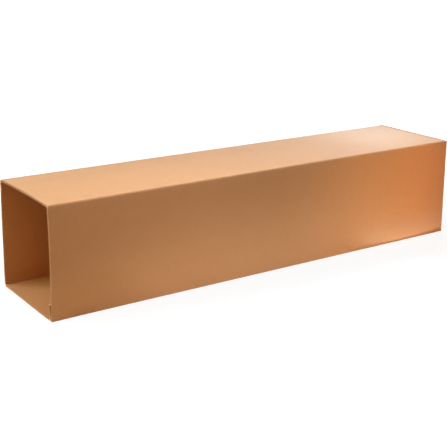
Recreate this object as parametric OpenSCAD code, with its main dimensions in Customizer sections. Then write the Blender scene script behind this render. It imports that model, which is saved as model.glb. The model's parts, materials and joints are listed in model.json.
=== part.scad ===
// Outer half of a telescoping carton, folded from one sheet of corrugated board.
// It lies on a side panel: open end at -X, flapped end at +X, front at -Y, ground at Z = 0.

/* [Box] */
// Inside width of the square section
inside_width = 216; // [120:1:400]
// Inside length from the open end to the inner flaps
inside_length = 1016; // [400:1:1600]

/* [Board] */
// Thickness of the corrugated board
board = 4; // [3:0.1:5]
// Thickness of each flat facing of the board
facing = 0.4; // [0.3:0.05:0.6]
// Thickness of the fluted sheet between the facings
medium = 0.35; // [0.25:0.05:0.5]
// Spacing of the flutes from crest to crest
flute_pitch = 7.8; // [6:0.1:10]
// Width of the glued crest between two flute hollows
flute_web = 0.6; // [0.4:0.05:1]
// Depth to which the flutes are hollow behind a cut edge
flute_depth = 12; // [4:1:40]

/* [Folds] */
// Inside radius of the folds
fold_radius = 1; // [0.5:0.1:3]

/* [Glue joint] */
// Height of the glue tab's edge above the ground
tab_height = 32; // [20:1:60]
// Gap between the glue tab and the front panel
tab_gap = 0.8; // [0.4:0.1:2]
// Length of the tab at the open end that the glue leaves loose
tab_loose = 40; // [5:1:120]
// Distance from the edge of the glue to the edges of the tab
glue_inset = 4; // [2:0.5:6]
// Distance from the far end of the tab to the flap slots
tab_setback = 6; // [2:0.5:20]
// Slant of the far end of the tab, in degrees
tab_slant = 20; // [0:1:45]
// Height of the front panel's cut edge above the ground
cut_edge_lift = 0.5; // [0.2:0.1:2]

/* [Flaps] */
// Clearance between the inner flaps and the long folds beside them
inner_flap_clearance = 0.5; // [0.5:0.5:6]
// Distance from the ends of the outer flaps to the outside of the box
outer_flap_inset = 2; // [0.5:0.5:6]
// Distance that the slots run past the fold of the inner flaps
slot_run = 0.5; // [0.5:0.5:10]
// Gap between two flaps where they meet
flap_gap = 1.5; // [0.5:0.1:6]
// Clearance between the inner and the outer flaps
flap_clearance = 0.3; // [0.2:0.05:1]
// Clearance between an outer flap and the crease that it turns on
hinge_clearance = 0.3; // [0.2:0.05:1]

/* [Hidden] */
$fn = 48;
kraft_colour = [0.72, 0.52, 0.34];

// Straight stretches that draw one flute hollow
flute_steps = 5;
flute_hollow_width = flute_pitch - flute_web;
flute_hollow_height = board - 2 * facing - medium;

// Distance that a cut runs clear of the face it opens
cut_clear = 1;
// Distance that joined stretches of the sheet run into each other
lap = 1;

outside_width = inside_width + 2 * board;
outside_length = inside_length + 2 * board + flap_clearance;
half_width = outside_width / 2;
open_x = -outside_length / 2;
end_x = outside_length / 2;

// Outside radius of a fold, and the flat stretch of a panel between two folds
bend_radius = fold_radius + board;
panel_flat = outside_width - 2 * bend_radius;

// The inner flaps lie one board and a clearance inside the outer flaps
inner_flap_x = end_x - board - flap_clearance;
bend_x = inner_flap_x - bend_radius;
slot_x = bend_x - slot_run;

// The inner flaps span the flat of their panels, and the outer flaps nearly the whole side
inner_flap_span = panel_flat - 2 * inner_flap_clearance;
outer_flap_span = outside_width - 2 * outer_flap_inset;

// The outer flaps turn on upright lines in the middle of the board
hinge_x = end_x - board / 2;
hinge_y = half_width - board / 2;
flap_near_y = -half_width + board + hinge_clearance;
flap_free_y = -flap_gap / 2;

// The glue tab stands inside the front panel
tab_y = -half_width + board + tab_gap;
tab_end_x = slot_x - tab_setback;
tab_slant_run = (tab_height - bend_radius) * tan(tab_slant);
bottom_start_y = tab_y + bend_radius;

// Extrude a section drawn in Y and Z along the length of the box.
module along_box(from, to) {
    translate([from, 0, 0])
        rotate([90, 0, 90])
            linear_extrude(to - from)
                children();
}

// Extrude a section drawn in Z and X across the width of the box.
module across_box(from, to) {
    translate([0, from, 0])
        rotate([0, -90, -90])
            linear_extrude(to - from)
                children();
}

// Hollow of one flute: a bell curve that stands on a facing.
module flute_hollow() {
    polygon([
        for (step = [0 : flute_steps])
            let (share = step / flute_steps - 0.5)
                [share * flute_hollow_width, flute_hollow_height * (1 + cos(360 * share)) / 2]
    ]);
}

// Row of flute hollows that stand on one facing and hang from the other by turns.
module flute_row(stretch) {
    count = floor(stretch / flute_pitch);
    margin = (stretch - count * flute_pitch) / 2;
    for (half_pitch = [1 : 2 * count - 1]) {
        place = margin + half_pitch * flute_pitch / 2;
        if (half_pitch % 2 == 1)
            translate([place, facing])
                flute_hollow();
        else
            translate([place, board - facing])
                mirror([0, 1])
                    flute_hollow();
    }
}

// Section of a fold: a quarter ring in the first quadrant.
module fold_section() {
    intersection() {
        difference() {
            circle(bend_radius);
            circle(fold_radius);
        }
        square(bend_radius);
    }
}

// Set the children on the section of each panel, with $flat as its flat stretch.
module on_each_panel() {
    translate([bottom_start_y, 0])
        let ($flat = half_width - bend_radius - bottom_start_y)
            children();
    translate([half_width, bend_radius])
        rotate(90)
            let ($flat = panel_flat)
                children();
    translate([half_width - bend_radius, outside_width])
        rotate(180)
            let ($flat = panel_flat)
                children();
    translate([-half_width, outside_width - bend_radius])
        rotate(-90)
            let ($flat = outside_width - bend_radius - cut_edge_lift)
                children();
}

// Set the children on the section of the glue tab, with $flat as its flat stretch.
module on_tab() {
    translate([tab_y, tab_height])
        rotate(-90)
            let ($flat = tab_height - bend_radius)
                children();
}

// The four panels and the three folds between them, from the open end to the slots.
module tube() {
    along_box(open_x, slot_x) {
        on_each_panel()
            square([$flat, board]);
        translate([half_width - bend_radius, bend_radius])
            rotate(-90)
                fold_section();
        translate([half_width - bend_radius, outside_width - bend_radius])
            fold_section();
        translate([-half_width + bend_radius, outside_width - bend_radius])
            rotate(90)
                fold_section();
    }
}

// The glue tab and its fold from the bottom panel, with the far end cut at a slant.
module glue_tab() {
    difference() {
        along_box(open_x, tab_end_x) {
            on_tab()
                square([$flat, board]);
            translate([bottom_start_y, bend_radius])
                rotate(180)
                    fold_section();
            translate([bottom_start_y, 0])
                square([lap, board]);
        }
        translate([tab_end_x, bottom_start_y, 0])
            rotate([90, 0, 0])
                linear_extrude(2 * bend_radius)
                    polygon([
                        [0, bend_radius],
                        [cut_clear, bend_radius],
                        [cut_clear, tab_height + cut_clear],
                        [-tab_slant_run, tab_height + cut_clear],
                        [-tab_slant_run, tab_height]
                    ]);
    }
}

// The line of glue that holds the tab to the front panel, soaked into a facing of each.
module glue_line() {
    from = open_x + tab_loose;
    to = tab_end_x - tab_slant_run - glue_inset;
    translate([from, -half_width + board - facing, bend_radius + glue_inset])
        cube([to - from, tab_gap + 2 * facing, tab_height - bend_radius - 2 * glue_inset]);
}

// End of the front panel between the slots, rounded on the line that its flap turns on.
module crease_end() {
    from = slot_x - lap;
    translate([0, -hinge_y, outer_flap_inset])
        linear_extrude(outer_flap_span) {
            translate([from, -board / 2])
                square([hinge_x - from, board]);
            translate([hinge_x, 0])
                intersection() {
                    circle(d = board);
                    translate([0, -board / 2])
                        square([board / 2, board]);
                }
        }
}

// Inner flap folded up from the bottom panel to the middle of the end.
module inner_flap() {
    from = slot_x - lap;
    upright = outside_width / 2 - flap_gap / 2 - bend_radius;
    across_box(-inner_flap_span / 2, inner_flap_span / 2) {
        translate([0, from])
            square([board, bend_x - from]);
        translate([bend_radius, bend_x])
            rotate(90)
                fold_section();
        translate([bend_radius, inner_flap_x - board])
            square([upright, board]);
    }
}

// The flutes that show round the open end.
module mouth_flutes() {
    along_box(open_x - cut_clear, open_x + flute_depth) {
        on_each_panel()
            flute_row($flat);
        on_tab()
            flute_row($flat);
    }
}

// Outer flap that closes the front half of the end, its free edge showing the flutes.
module outer_flap() {
    translate([end_x - board, 0, outer_flap_inset])
        difference() {
            across_box(flap_near_y, flap_free_y)
                square([outer_flap_span, board]);
            across_box(flap_free_y - flute_depth, flap_free_y + cut_clear)
                flute_row(outer_flap_span);
        }
}

// Four panels, glue tab and inner flaps of the one folded sheet.
module carton() {
    color(kraft_colour)
        difference() {
            union() {
                tube();
                glue_tab();
                glue_line();
                crease_end();
                mirror([0, 1, 0])
                    crease_end();
                inner_flap();
                translate([0, 0, outside_width])
                    mirror([0, 0, 1])
                        inner_flap();
            }
            mouth_flutes();
        }
}

module front_flap() {
    color(kraft_colour)
        outer_flap();
}

module back_flap() {
    color(kraft_colour)
        mirror([0, 1, 0])
            outer_flap();
}

carton();
front_flap();
back_flap();
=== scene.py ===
"""Looks of the outer half of a telescoping carton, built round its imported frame.

The board is modelled as the real blank: one sheet of cells, folded round the box, with the inner flaps
turned in at the closed end. The outer flaps, and the creases that they turn on, are pieces of their own.
Sizes are in metres. X runs from the open end to the flapped end, and the front panel is at -Y.
"""

from __future__ import annotations

import cmath
import json
import logging
import math
from collections.abc import Callable, Iterator, Sequence
from dataclasses import dataclass, field, replace
from enum import Enum, IntEnum

import bmesh
import bpy
import numpy as np
from mathutils import Matrix, Vector

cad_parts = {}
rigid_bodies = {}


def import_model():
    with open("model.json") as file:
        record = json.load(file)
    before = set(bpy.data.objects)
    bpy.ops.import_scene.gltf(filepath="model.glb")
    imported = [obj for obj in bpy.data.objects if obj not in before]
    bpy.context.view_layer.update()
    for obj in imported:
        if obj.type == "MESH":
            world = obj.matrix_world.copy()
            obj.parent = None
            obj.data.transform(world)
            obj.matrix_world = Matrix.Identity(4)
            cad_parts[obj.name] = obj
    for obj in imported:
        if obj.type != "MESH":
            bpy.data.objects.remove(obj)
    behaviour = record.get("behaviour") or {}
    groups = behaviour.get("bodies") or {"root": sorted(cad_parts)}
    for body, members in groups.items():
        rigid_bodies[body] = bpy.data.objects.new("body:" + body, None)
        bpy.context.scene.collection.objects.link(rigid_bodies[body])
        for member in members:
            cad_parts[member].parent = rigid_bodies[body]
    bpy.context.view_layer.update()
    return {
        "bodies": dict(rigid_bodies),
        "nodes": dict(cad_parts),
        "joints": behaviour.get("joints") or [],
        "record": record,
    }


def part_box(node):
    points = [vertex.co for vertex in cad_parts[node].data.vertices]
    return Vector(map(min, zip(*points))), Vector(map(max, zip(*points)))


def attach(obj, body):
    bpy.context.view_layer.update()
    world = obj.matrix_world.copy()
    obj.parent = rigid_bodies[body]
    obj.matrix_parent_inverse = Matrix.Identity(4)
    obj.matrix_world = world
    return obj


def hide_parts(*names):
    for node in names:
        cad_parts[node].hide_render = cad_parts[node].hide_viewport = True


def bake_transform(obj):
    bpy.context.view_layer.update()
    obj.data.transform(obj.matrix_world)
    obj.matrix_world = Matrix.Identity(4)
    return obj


MM = 0.001
SHEET_MAP = "sheet"
CREASE_MARK = "crease"
DEPTH_MARK = "depth_axis"
SHARP_ANGLE = math.radians(32)

Colour = tuple[float, float, float, float]
WHITE: Colour = (1.0, 1.0, 1.0, 1.0)
log = logging.getLogger("carton")


def linear(red: int, green: int, blue: int) -> Colour:
    """Turn an sRGB colour into the linear one that a shader takes.

    Args:
        red: Red from 0 to 255.
        green: Green from 0 to 255.
        blue: Blue from 0 to 255.

    Returns:
        The linear colour with an alpha of 1.
    """
    shares = [channel / 255 for channel in (red, green, blue)]
    bent = [s / 12.92 if s <= 0.04045 else ((s + 0.055) / 1.055) ** 2.4 for s in shares]
    return (*bent, 1.0)


def fade(distance: float, reach: float) -> float:
    """Fall smoothly from 1 at no distance to 0 at the reach."""
    share = min(max(distance / reach, 0.0), 1.0)
    return 1 - share * share * (3 - 2 * share)


def fold_mark(distance: float, spread: float) -> float:
    """Fall from 1 at a fold to nearly 0 at twice the spread, as the paper's wear does."""
    return math.exp(-((distance / spread) ** 2))


def marks(length: float, cells: int, head: Sequence[float] = (), tail: Sequence[float] = ()) -> list[float]:
    """Spread lines over a length, with extra lines near its ends.

    Args:
        length: Length to cover.
        cells: Even cells between the extra lines.
        head: Distances of the extra lines from the start, rising.
        tail: Distances of the extra lines from the end, rising.

    Returns:
        The distances of all the lines from the start, both ends included.
    """
    first = [0.0, *head]
    last = [length - distance for distance in reversed(tail)] + [length]
    middle = np.linspace(first[-1], last[0], cells + 1)[1:-1]
    return [*first, *(float(distance) for distance in middle), *last]


class Panel(Enum):
    """The strips of the blank, in their order round the box."""

    TAB = "tab"
    BOTTOM = "bottom"
    BACK = "back"
    TOP = "top"
    FRONT = "front"


class Side(Enum):
    """The four sides of a cell, each as the step to the neighbour there."""

    LOW_ROW = (0, -1)
    HIGH_ROW = (0, 1)
    LOW_LINE = (-1, 0)
    HIGH_LINE = (1, 0)

    def ends(self, line: int, row: int) -> tuple[tuple[int, int], tuple[int, int]]:
        """Name the two grid points at the ends of this side of a cell.

        Args:
            line: First line of the cell.
            row: First row of the cell.

        Returns:
            Two pairs of line and row.
        """
        over, up = self.value
        if over == 0:
            edge = row + max(up, 0)
            return (line, edge), (line + 1, edge)
        edge = line + max(over, 0)
        return (edge, row), (edge, row + 1)


class Face(IntEnum):
    """The finishes that a sheet of board shows, in the order of its material slots."""

    OUTSIDE = 0
    INSIDE = 1
    CUT_EDGE = 2
    HOLLOW = 3


class EndSide(Enum):
    """The two outer flaps, each with the sign of its side."""

    FRONT = -1
    BACK = 1

    @property
    def body(self) -> str:
        """Name of the body and node of this flap."""
        return f"{self.name.lower()}_flap"


@dataclass(frozen=True)
class BoardGrade:
    """Make-up of the corrugated board.

    Attributes:
        thickness: Thickness from facing to facing.
        facing: Thickness of each flat facing.
        medium: Thickness of the fluted sheet.
        pitch: Spacing of the flutes from crest to crest.
        hollow: Depth to which the flutes are open behind a cut across them.
        groove: Depth of the groove between the facings in a cut along the flutes.
        skirt: Width of the closed strip between a hollow and the corner of the sheet.
        second_line: Distance of the next line from the corner, beyond the skirt.
        cut_row: Distance of the first row behind a cut across the flutes.
        cut_margin: Distance from the back of the hollows there to the next row.
    """

    thickness: float
    facing: float = 0.4 * MM
    medium: float = 0.35 * MM
    pitch: float = 7.8 * MM
    hollow: float = 5 * MM
    groove: float = 1.2 * MM
    skirt: float = 0.6 * MM
    second_line: float = 2.4 * MM
    cut_row: float = 2 * MM
    cut_margin: float = 1 * MM

    @property
    def core(self) -> tuple[float, float]:
        """Depths of the hidden sides of the two facings, below the outer skin."""
        return self.facing, self.thickness - self.facing

    @property
    def wave(self) -> float:
        """Height of the flutes, between the middles of the fluted sheet."""
        return self.thickness - 2 * self.facing - self.medium

    @property
    def corner_lines(self) -> tuple[float, float]:
        """Distances of the lines beside a corner of the sheet."""
        return self.skirt, self.second_line

    @property
    def cut_rows(self) -> tuple[float, float]:
        """Distances of the rows behind a cut across the flutes."""
        return self.cut_row, self.hollow + self.cut_margin


@dataclass(frozen=True)
class CartonSizes:
    """Sizes of the carton: those that the frame gives, and those of the folds and the glue joint.

    Attributes:
        open_x: Place of the open edge along the box.
        end_x: Place of the outside of the flapped end.
        half_width: Half of the outside width.
        height: Outside height.
        board: Thickness of the board.
        flap_low: Lower end of the outer flaps.
        flap_high: Upper end of the outer flaps.
        flap_free: Distance of an outer flap's free edge from the middle.
        hinge_x: Place of the flaps' turning lines along the box.
        hinge_y: Distance of the flaps' turning lines from the middle.
        fold_radius: Inside radius of a fold.
        flap_clearance: Gap between the inner and the outer flaps.
        flap_overrun: Length by which the outer flaps pass the solids at each end.
        slot_run: Distance from the end of the slots to the bend of the inner flaps.
        tab_height: Height of the glue tab's free edge above the ground.
        tab_gap: Gap between the glue tab and the front panel, which the glue fills.
        tab_setback: Distance of the glue tab's far end from the slots, at its fold.
        tab_slant: Slant of the glue tab's far end.
        cut_edge_lift: Height of the front panel's cut edge above the ground.
        inner_flap_clearance: Distance of each side of an inner flap from the folds of its panel.
    """

    open_x: float
    end_x: float
    half_width: float
    height: float
    board: float
    flap_low: float
    flap_high: float
    flap_free: float
    hinge_x: float
    hinge_y: float
    fold_radius: float = 1 * MM
    flap_clearance: float = 0.3 * MM
    flap_overrun: float = 1.5 * MM
    slot_run: float = 0.5 * MM
    tab_height: float = 32 * MM
    tab_gap: float = 0.8 * MM
    tab_setback: float = 6 * MM
    tab_slant: float = math.radians(20)
    cut_edge_lift: float = 0.5 * MM
    inner_flap_clearance: float = 0.5 * MM

    @classmethod
    def from_frame(cls, frame: dict) -> "CartonSizes":
        """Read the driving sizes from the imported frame.


        Returns:
            The sizes of this carton.
        """
        low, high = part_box("carton")
        flap_low, flap_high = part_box(EndSide.FRONT.body)
        hinge = next(joint["pos_m"] for joint in frame["joints"] if joint["child"] == EndSide.FRONT.body)
        return cls(
            open_x=low.x,
            end_x=high.x,
            half_width=high.y,
            height=high.z,
            board=flap_high.x - flap_low.x,
            flap_low=flap_low.z - cls.flap_overrun,
            flap_high=flap_high.z + cls.flap_overrun,
            flap_free=-flap_high.y,
            hinge_x=hinge[0],
            hinge_y=-hinge[1],
        )

    @property
    def bend_radius(self) -> float:
        """Outside radius of a fold."""
        return self.fold_radius + self.board

    @property
    def bend_x(self) -> float:
        """Place along the box where the inner flaps begin to bend."""
        return self.end_x - self.board - self.flap_clearance - self.bend_radius

    @property
    def slot_x(self) -> float:
        """Place along the box where the slots between the flaps end."""
        return self.bend_x - self.slot_run

    @property
    def crease_reach(self) -> float:
        """Distance that an outer flap's crease covers on either side of its turning line."""
        return self.hinge_x - self.slot_x

    @property
    def flap_drop(self) -> float:
        """Flat length of an inner flap, from its bend to its free edge."""
        return self.height / 2 - self.flap_free - self.bend_radius

    @property
    def panel_flat(self) -> float:
        """Flat width of a panel between two folds."""
        return self.height - 2 * self.bend_radius

    @property
    def bottom_flat(self) -> float:
        """Flat width of the bottom panel, from the fold of the glue tab."""
        return self.half_width - self.tab_y - 2 * self.bend_radius

    @property
    def tab_y(self) -> float:
        """Place of the glue tab's outer skin."""
        return -self.half_width + self.board + self.tab_gap

    @property
    def tab_flat(self) -> float:
        """Flat height of the glue tab above its fold."""
        return self.tab_height - self.bend_radius

    @property
    def tab_end_x(self) -> float:
        """Place of the far end of the glue tab at its fold."""
        return self.slot_x - self.tab_setback

    @property
    def front_flat(self) -> float:
        """Flat height of the front panel, from its fold to its cut edge."""
        return self.height - self.bend_radius - self.cut_edge_lift


@dataclass(frozen=True)
class MouthSpring:
    """How the panels spring at the open end, where nothing holds them flat.

    Attributes:
        bulge: Outward bulge in the middle of each panel, at the open edge.
        reach: Distance from the open edge at which the bulge has died out.
        flare: Outward spread of the front panel's cut edge, at the open edge.
        peel: Inward lean of the loose glue tab's free edge, at the open edge.
        loose: Distance from the open edge at which the flare and the peel have died out.
        flare_sharpness: Power by which the flare gathers at the cut edge.
    """

    bulge: dict[Panel, float] = field(
        default_factory=lambda: {
            Panel.TAB: 0.0,
            Panel.BOTTOM: 0.0,
            Panel.BACK: 1.0 * MM,
            Panel.TOP: 2.4 * MM,
            Panel.FRONT: 4.3 * MM,
        }
    )
    reach: float = 0.5
    flare: float = 1.0 * MM
    peel: float = 2.6 * MM
    loose: float = 80 * MM
    flare_sharpness: float = 6.0

    def push(self, panel: Panel, share: float, distance: float) -> float:
        """Work out how far a point of a panel springs outwards.

        Args:
            panel: Panel that the point is on.
            share: Place across the panel, from 0 to 1.
            distance: Distance from the open edge.

        Returns:
            The outward push.
        """
        push = self.bulge[panel] * math.sin(math.pi * share) * fade(distance, self.reach)
        if panel is Panel.FRONT:
            push += self.flare * share**self.flare_sharpness * fade(distance, self.loose)
        return push


@dataclass(frozen=True)
class Station:
    """One line along the sheet, seen in the section of the box.

    Attributes:
        place: Point on the outer skin, as y + z * 1j.
        inward: Unit step from the outer to the inner skin, written the same way.
        run: Distance from the first line, measured round the middle of the board.
        panel: Panel that the line is on, or none within a fold.
        share: Place across the panel, from 0 to 1.
        crease: How close the line is to a fold, from 0 to 1.
    """

    place: complex
    inward: complex
    run: float
    panel: Panel | None
    share: float
    crease: float


@dataclass(frozen=True)
class Row:
    """One line across the sheet, which may lie in a flap that is turned in.

    Attributes:
        outer: Place along the box and depth below the outer skin, for the outer skin.
        inner: The same for the inner skin.
        run: Distance from the open edge, measured along the middle of the board.
        crease: How close the line is to a flap's fold, from 0 to 1.
    """

    outer: tuple[float, float]
    inner: tuple[float, float]
    run: float
    crease: float


@dataclass
class SectionWalk:
    """A walk along the outer skin of the folded section, which turns inwards at each fold.

    Attributes:
        place: Point that the walk has come to, as y + z * 1j.
        heading: Unit step of the stretch that comes next.
        board: Thickness of the board.
        crease_spread: Distance over which the mark of a fold fades.
        run: Distance walked so far, measured round the middle of the board.
        fold_runs: Distance of the middle of each fold.
        stations: Lines noted so far.
    """

    place: complex
    heading: complex
    board: float
    crease_spread: float = 4 * MM
    run: float = 0.0
    fold_runs: list[float] = field(default_factory=list)
    stations: list[Station] = field(default_factory=list)

    @property
    def inward(self) -> complex:
        """Unit step from the outer to the inner skin."""
        return self.heading * 1j

    def flat(self, panel: Panel, distances: Sequence[float]) -> None:
        """Walk straight along one panel.

        Args:
            panel: The panel.
            distances: Lines along it, from 0 to its width.
        """
        width = distances[-1]
        for distance in distances:
            place = self.place + self.heading * distance
            self._add(place, self.inward, self.run + distance, panel, distance / width)
        self.place += self.heading * width
        self.run += width

    def fold(self, radius: float, cells: int) -> None:
        """Turn a quarter inwards.

        Args:
            radius: Outside radius of the fold.
            cells: Steps of the turn.
        """
        centre = self.place + self.inward * radius
        length = (radius - self.board / 2) * math.pi / 2
        for step in range(1, cells):
            inward = self.inward * cmath.exp(0.5j * math.pi * step / cells)
            self._add(centre - inward * radius, inward, self.run + length * step / cells, None, 0.0)
        self.fold_runs.append(self.run + length / 2)
        self.heading *= 1j
        self.place = centre - self.inward * radius
        self.run += length

    def finished(self) -> list[Station]:
        """List the lines, each with its closeness to the nearest fold."""
        return [replace(station, crease=self._crease(station.run)) for station in self.stations]

    def _add(self, place: complex, inward: complex, run: float, panel: Panel | None, share: float) -> None:
        """Note one line of the walk."""
        self.stations.append(Station(place, inward, run, panel, share, 0.0))

    def _crease(self, run: float) -> float:
        """Tell how close a line is to the nearest fold, from 0 to 1."""
        nearest = min(abs(run - fold) for fold in self.fold_runs)
        return fold_mark(nearest, self.crease_spread)


@dataclass
class SheetGrid:
    """Points of a sheet of board, on lines along it and rows across it.

    Attributes:
        outer: Points of the outer skin, by line and then by row.
        inner: Points of the inner skin, in the same order.
        flat: Where each point lies on the unfolded sheet: across the flutes, then along them.
        crease: How close each point is to a fold, from 0 to 1.
        cells: Which cells between the lines and rows are board.
    """

    outer: np.ndarray
    inner: np.ndarray
    flat: np.ndarray
    crease: np.ndarray
    cells: np.ndarray

    @classmethod
    def empty(cls, lines: int, rows: int) -> "SheetGrid":
        """Make a grid of whole board with its points still to be set.

        Args:
            lines: Number of lines along the sheet.
            rows: Number of rows across it.

        Returns:
            The grid.
        """
        return cls(
            outer=np.zeros((lines, rows, 3)),
            inner=np.zeros((lines, rows, 3)),
            flat=np.zeros((lines, rows, 2)),
            crease=np.zeros((lines, rows)),
            cells=np.ones((lines - 1, rows - 1), dtype=bool),
        )

    def is_board(self, line: int, row: int) -> bool:
        """Tell whether a cell exists and is board."""
        lines, rows = self.cells.shape
        return 0 <= line < lines and 0 <= row < rows and bool(self.cells[line, row])


@dataclass(frozen=True)
class FluteLine:
    """The middle of the board along a cut across the flutes.

    Attributes:
        points: Points along the cut.
        depths: Unit steps from those points into the board.
    """

    points: list[np.ndarray]
    depths: list[np.ndarray]


GridPlace = tuple[int, int]
CellSide = tuple[Side, int, int]
HollowRule = Callable[[Side, int, int], float]


class BoardMesh:
    """A sheet of board as one closed mesh: two skins, and walls that show the facings at every cut."""

    def __init__(self, grid: SheetGrid, grade: BoardGrade, hollow_rule: HollowRule | None = None) -> None:
        """Build the faces.

        Args:
            grid: Points of the sheet.
            grade: Make-up of the board.
            hollow_rule: Gives the depth of the hollow in one side of a cell, or 0 for a closed wall.
        """
        self.grid = grid
        self.grade = grade
        self.points: list[np.ndarray] = []
        self.creases: list[float] = []
        self.faces: list[list[int]] = []
        self.face_maps: list[list[tuple[float, float]]] = []
        self.finishes: list[Face] = []
        self.flute_lines: list[FluteLine] = []
        self._known: dict[tuple, int] = {}
        self._add_skins()
        self._add_walls(hollow_rule or self._closed)

    def make_object(self, name: str, materials: Sequence[bpy.types.Material]) -> bpy.types.Object:
        """Turn the faces into an object.

        Args:
            name: Name of the piece.
            materials: One material for each finish.

        Returns:
            The new object, linked to the scene.
        """
        mesh = bpy.data.meshes.new(name)
        mesh.from_pydata([tuple(point) for point in self.points], [], self.faces)
        sheet_map = mesh.uv_layers.new(name=SHEET_MAP)
        corner_values = [value for corners in self.face_maps for pair in corners for value in pair]
        sheet_map.data.foreach_set("uv", corner_values)
        mark = mesh.attributes.new(CREASE_MARK, "FLOAT", "POINT")
        mark.data.foreach_set("value", self.creases)
        mesh.polygons.foreach_set("material_index", [int(finish) for finish in self.finishes])
        for material in materials:
            mesh.materials.append(material)
        return finished_object(name, mesh)

    @staticmethod
    def _closed(_side: Side, _line: int, _row: int) -> float:
        """Leave every wall closed."""
        return 0.0

    def _vertex(self, key: tuple, point: np.ndarray, crease: float = 0.0) -> int:
        """Give the index of a point, which is added the first time.

        Args:
            key: What the point is known by.
            point: Where it lies.
            crease: How close it is to a fold, from 0 to 1.

        Returns:
            The index.
        """
        if key not in self._known:
            self._known[key] = len(self.points)
            self.points.append(point)
            self.creases.append(crease)
        return self._known[key]

    def _skin(self, face: Face, place: GridPlace) -> int:
        """Give the index of a grid point on the outer or the inner skin."""
        points = self.grid.outer if face is Face.OUTSIDE else self.grid.inner
        return self._vertex((face, place), points[place], float(self.grid.crease[place]))

    def _add_face(self, finish: Face, corners: list[int], face_map: list[tuple[float, float]]) -> None:
        """Note one face.

        Args:
            finish: Finish that it shows.
            corners: Indices of its points.
            face_map: Places of those points on the sheet map.
        """
        self.faces.append(corners)
        self.face_maps.append(face_map)
        self.finishes.append(finish)

    def _add_skins(self) -> None:
        """Add the faces of the outer and the inner skin."""
        for line, row in np.argwhere(self.grid.cells):
            places = [(line, row), (line + 1, row), (line + 1, row + 1), (line, row + 1)]
            face_map = [tuple(self.grid.flat[place]) for place in places]
            for face in (Face.OUTSIDE, Face.INSIDE):
                self._add_face(face, [self._skin(face, place) for place in places], face_map)

    def _boundary(self) -> Iterator[CellSide]:
        """List the sides of cells that have no board beside them.

        Yields:
            The side, and the line and row of its cell.
        """
        for side in Side:
            over, up = side.value
            order = np.argwhere(self.grid.cells if over == 0 else self.grid.cells.T)
            for first, second in order:
                line, row = (first, second) if over == 0 else (second, first)
                if not self.grid.is_board(line + over, row + up):
                    yield side, int(line), int(row)

    def _add_walls(self, hollow_rule: HollowRule) -> None:
        """Close the sheet all round.

        Args:
            hollow_rule: Gives the depth of the hollow in one side of a cell, or 0 for a closed wall.
        """
        depths = {key: hollow_rule(*key) for key in self._boundary()}
        hollow_ends = {
            (side, place)
            for (side, line, row), depth in depths.items()
            if depth > 0
            for place in side.ends(line, row)
        }
        for (side, line, row), depth in depths.items():
            if depth > 0:
                self._add_hollow(side, line, row, depth)
                self._close_hollow(side, line, row, depths)
            else:
                self._add_closed_wall(side, line, row, hollow_ends)
        self._note_flutes(depths)

    def _along(self, side: Side, place: GridPlace) -> float:
        """Give the distance of a point along a wall, for the sheet map."""
        return float(self.grid.flat[place][0 if side.value[0] == 0 else 1])

    def _depth_axis(self, side: Side, place: GridPlace) -> np.ndarray:
        """Give the unit step from a cut edge into the board.

        Args:
            side: Side of the sheet that is cut there.
            place: Grid point on that side.

        Returns:
            The step.
        """
        outer, inner = self.grid.outer, self.grid.inner
        behind = (place[0] - side.value[0], place[1] - side.value[1])
        step = outer[behind] + inner[behind] - outer[place] - inner[place]
        return step / np.linalg.norm(step)

    def _lip(self, side: Side, place: GridPlace, face: Face, depth: float) -> int:
        """Give the index of a point on the hidden side of a facing.

        Args:
            side: Side of the sheet that is cut there.
            place: Grid point on that side.
            face: Skin that the facing is on.
            depth: Distance behind the cut, or 0 at the cut itself.

        Returns:
            The index of the point.
        """
        outer, inner = self.grid.outer[place], self.grid.inner[place]
        across = (inner - outer) / np.linalg.norm(inner - outer) * self.grade.facing
        point = outer + across if face is Face.OUTSIDE else inner - across
        return self._vertex((side, place, face, depth > 0), point + self._depth_axis(side, place) * depth)

    def _add_hollow(self, side: Side, line: int, row: int, depth: float) -> None:
        """Add the two facings' edges and the hollow between them.

        Args:
            side: Side of the cell that is cut.
            line: Line of the cell.
            row: Row of the cell.
            depth: Depth of the hollow.
        """
        first, second = side.ends(line, row)
        columns = []
        for place in (first, second):
            columns.append([
                self._skin(Face.OUTSIDE, place),
                self._lip(side, place, Face.OUTSIDE, 0.0),
                self._lip(side, place, Face.OUTSIDE, depth),
                self._lip(side, place, Face.INSIDE, depth),
                self._lip(side, place, Face.INSIDE, 0.0),
                self._skin(Face.INSIDE, place),
            ])
        near, far = self.grade.core
        across = [0.0, near, near, far, far, self.grade.thickness]
        finishes = [Face.CUT_EDGE, Face.HOLLOW, Face.HOLLOW, Face.HOLLOW, Face.CUT_EDGE]
        start, stop = self._along(side, first), self._along(side, second)
        for step, finish in enumerate(finishes):
            low, high = across[step : step + 2]
            corners = [columns[0][step], columns[1][step], columns[1][step + 1], columns[0][step + 1]]
            self._add_face(finish, corners, [(start, low), (stop, low), (stop, high), (start, high)])

    def _close_hollow(self, side: Side, line: int, row: int, depths: dict[CellSide, float]) -> None:
        """Close a hollow where the next side of the run has none.

        Args:
            side: Side of the cell that is cut.
            line: Line of the cell.
            row: Row of the cell.
            depths: Depth of the hollow in every side of a cell at the sheet's edge.
        """
        near, far = self.grade.core
        over, up = side.value
        depth = depths[(side, line, row)]
        for step, place in zip((-1, 1), side.ends(line, row)):
            beside = (side, line + step * abs(up), row + step * abs(over))
            if depths.get(beside, 0.0) > 0:
                continue
            corners = [
                self._lip(side, place, Face.OUTSIDE, 0.0),
                self._lip(side, place, Face.OUTSIDE, depth),
                self._lip(side, place, Face.INSIDE, depth),
                self._lip(side, place, Face.INSIDE, 0.0),
            ]
            self._add_face(Face.HOLLOW, corners, [(0.0, near), (depth, near), (depth, far), (0.0, far)])

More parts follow.
